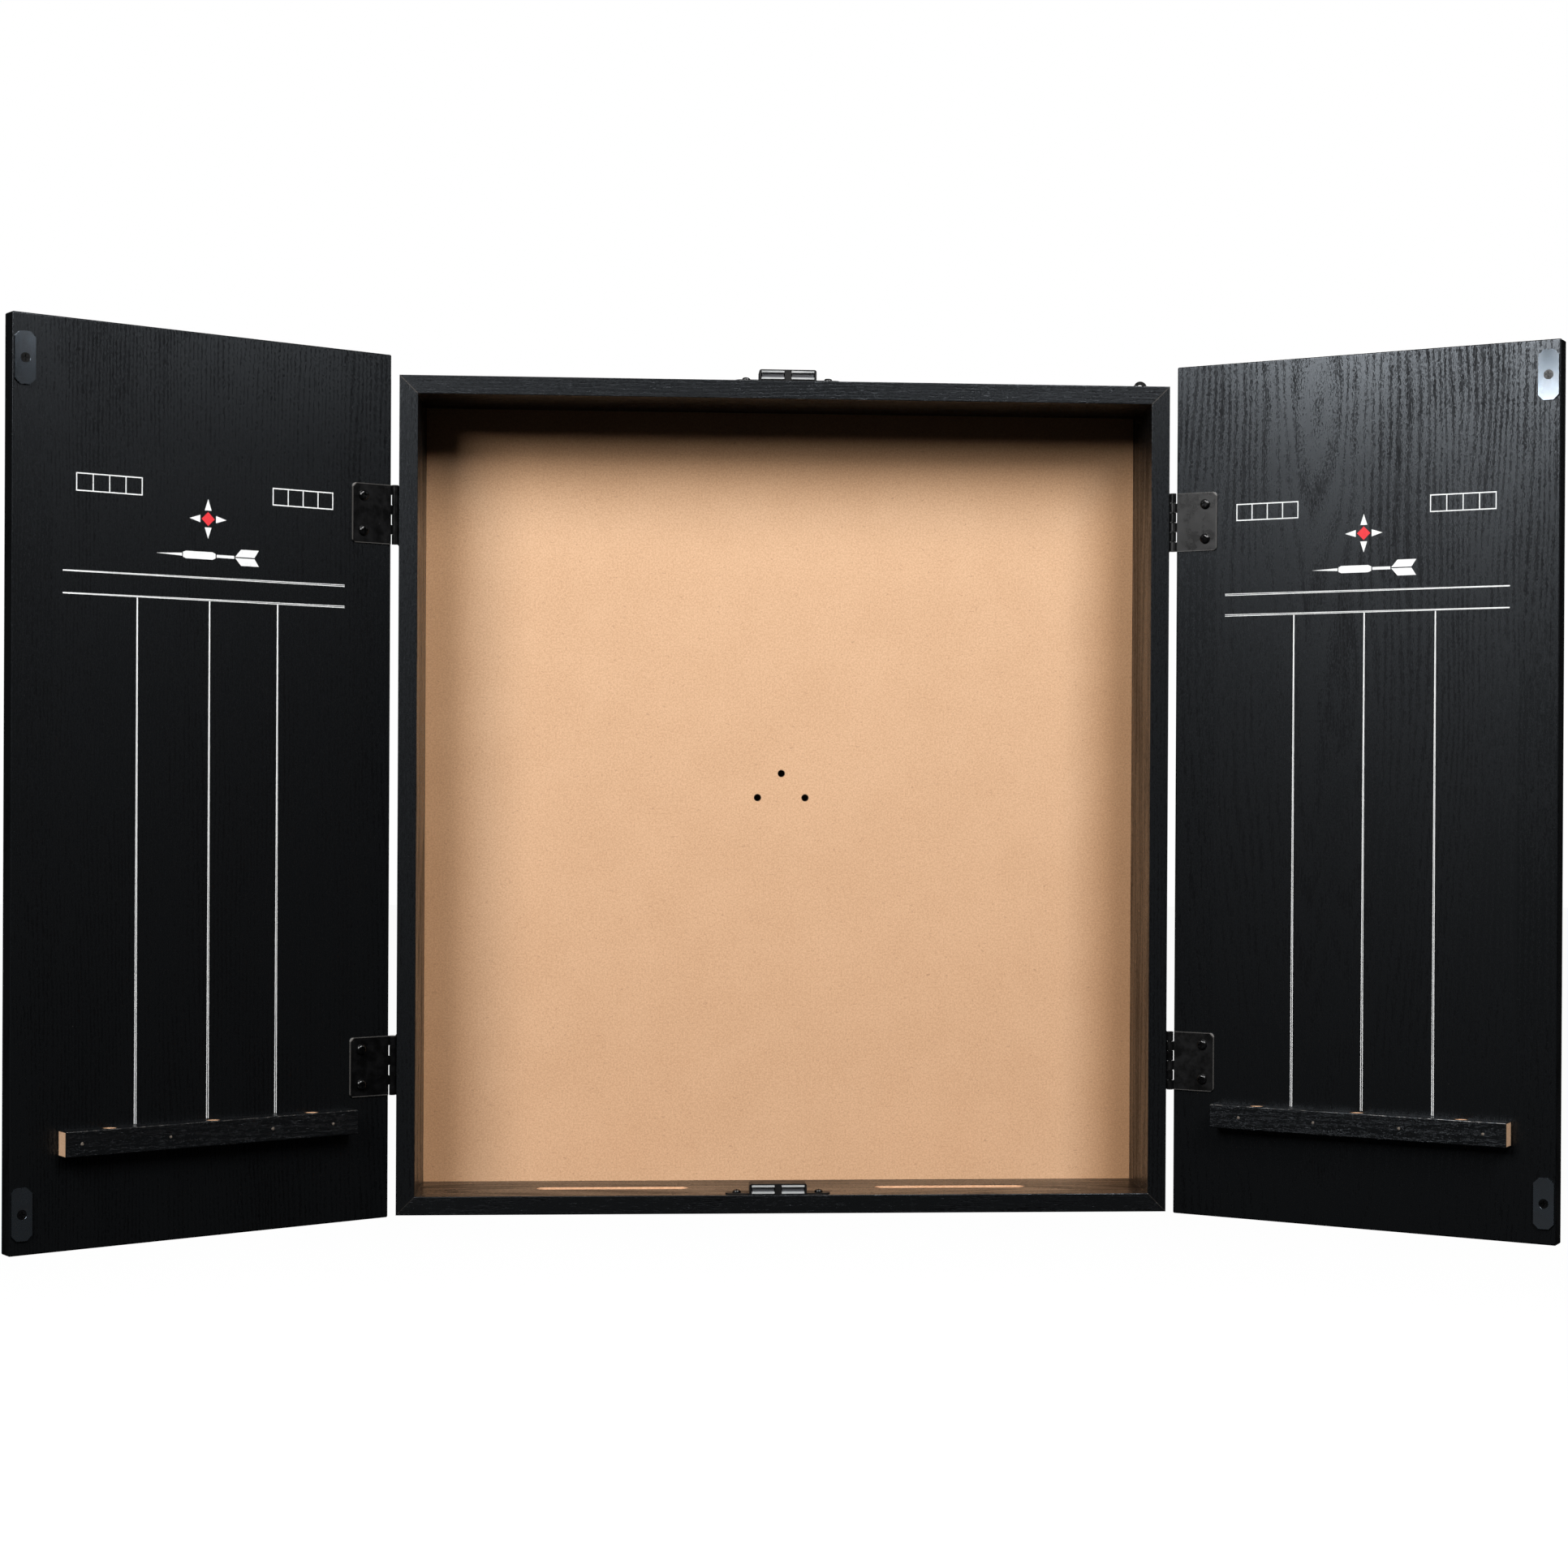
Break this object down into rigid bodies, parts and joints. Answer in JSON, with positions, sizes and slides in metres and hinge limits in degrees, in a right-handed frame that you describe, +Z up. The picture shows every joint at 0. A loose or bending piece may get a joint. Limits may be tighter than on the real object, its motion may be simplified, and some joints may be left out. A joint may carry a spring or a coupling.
{
  "type": "dart board cabinet",
  "caption": "Wall cabinet for a dart board: shallow open-fronted case, hinged doors with scoreboards and dart racks inside, magnetic catches.",
  "frame": {"origin": "middle of the bottom panel's rear edge, where the case's lower edge meets the wall", "axes": "+X to the right seen from the front, +Y back into the wall, +Z up"},
  "size_m": [0.9389, 0.2195, 0.5562],
  "materials": {
    "black_screw": "gloss black",
    "brad_filler": "steel under a dab of filler",
    "case_foil": "black wood-grain foil on MDF, satin",
    "catch_plastic": "black moulded plastic",
    "door_foil": "black wood-grain foil on MDF, satin",
    "hinge_black": "gloss black paint",
    "magnet_grey": "ground ferrite",
    "pole_steel": "zinc plated, bright",
    "rack_foil": "black wood-grain foil on MDF with raw ends and holes",
    "raw_board": "raw MDF, matt",
    "score_ink": "white screen-printed ink",
    "score_ink_red": "red screen-printed ink",
    "strap_steel": "black painted steel",
    "strike_screw_steel": "plated steel",
    "strike_steel": "plated steel, satin"
  },
  "bodies": {
    "case": {"back_panel": "raw_board", "bottom_catch_housing": "catch_plastic", "bottom_catch_magnets": "magnet_grey", "bottom_catch_poles": "pole_steel", "bottom_catch_screws": "black_screw", "bottom_panel": "case_foil", "hanger_strap_screws": "strap_steel", "left_bottom_case_leaf": "hinge_black", "left_bottom_hinge_pin": "hinge_black", "left_case_leaf_screws": "black_screw", "left_hanger_strap": "strap_steel", "left_side_panel": "case_foil", "left_top_case_leaf": "hinge_black", "left_top_hinge_pin": "hinge_black", "right_bottom_case_leaf": "hinge_black", "right_bottom_hinge_pin": "hinge_black", "right_case_leaf_screws": "black_screw", "right_hanger_strap": "strap_steel", "right_side_panel": "case_foil", "right_top_case_leaf": "hinge_black", "right_top_hinge_pin": "hinge_black", "top_catch_housing": "catch_plastic", "top_catch_magnets": "magnet_grey", "top_catch_poles": "pole_steel", "top_catch_screws": "black_screw", "top_panel": "case_foil"},
    "left_door": {"left_bottom_door_leaf": "hinge_black", "left_bottom_strike": "strike_steel", "left_dart_rack": "rack_foil", "left_door_leaf_screws": "black_screw", "left_door_panel": "door_foil", "left_rack_brads": "brad_filler", "left_strike_screws": "strike_screw_steel", "left_top_door_leaf": "hinge_black", "left_top_strike": "strike_steel"},
    "right_door": {"right_bottom_door_leaf": "hinge_black", "right_bottom_strike": "strike_steel", "right_dart_rack": "rack_foil", "right_door_leaf_screws": "black_screw", "right_door_panel": "door_foil", "right_rack_brads": "brad_filler", "right_strike_screws": "strike_screw_steel", "right_top_door_leaf": "hinge_black", "right_top_strike": "strike_steel"}
  },
  "joints": [
    {"name": "left_door_hinge", "type": "hinge", "parent": "case", "child": "left_door", "pos_m": [-0.2524, -0.0794, 0], "axis": [0, 0, -1], "range_deg": [-145.8, 34.2]},
    {"name": "right_door_hinge", "type": "hinge", "parent": "case", "child": "right_door", "pos_m": [0.2524, -0.0794, 0], "axis": [0, 0, 1], "range_deg": [-147, 33]}
  ]
}
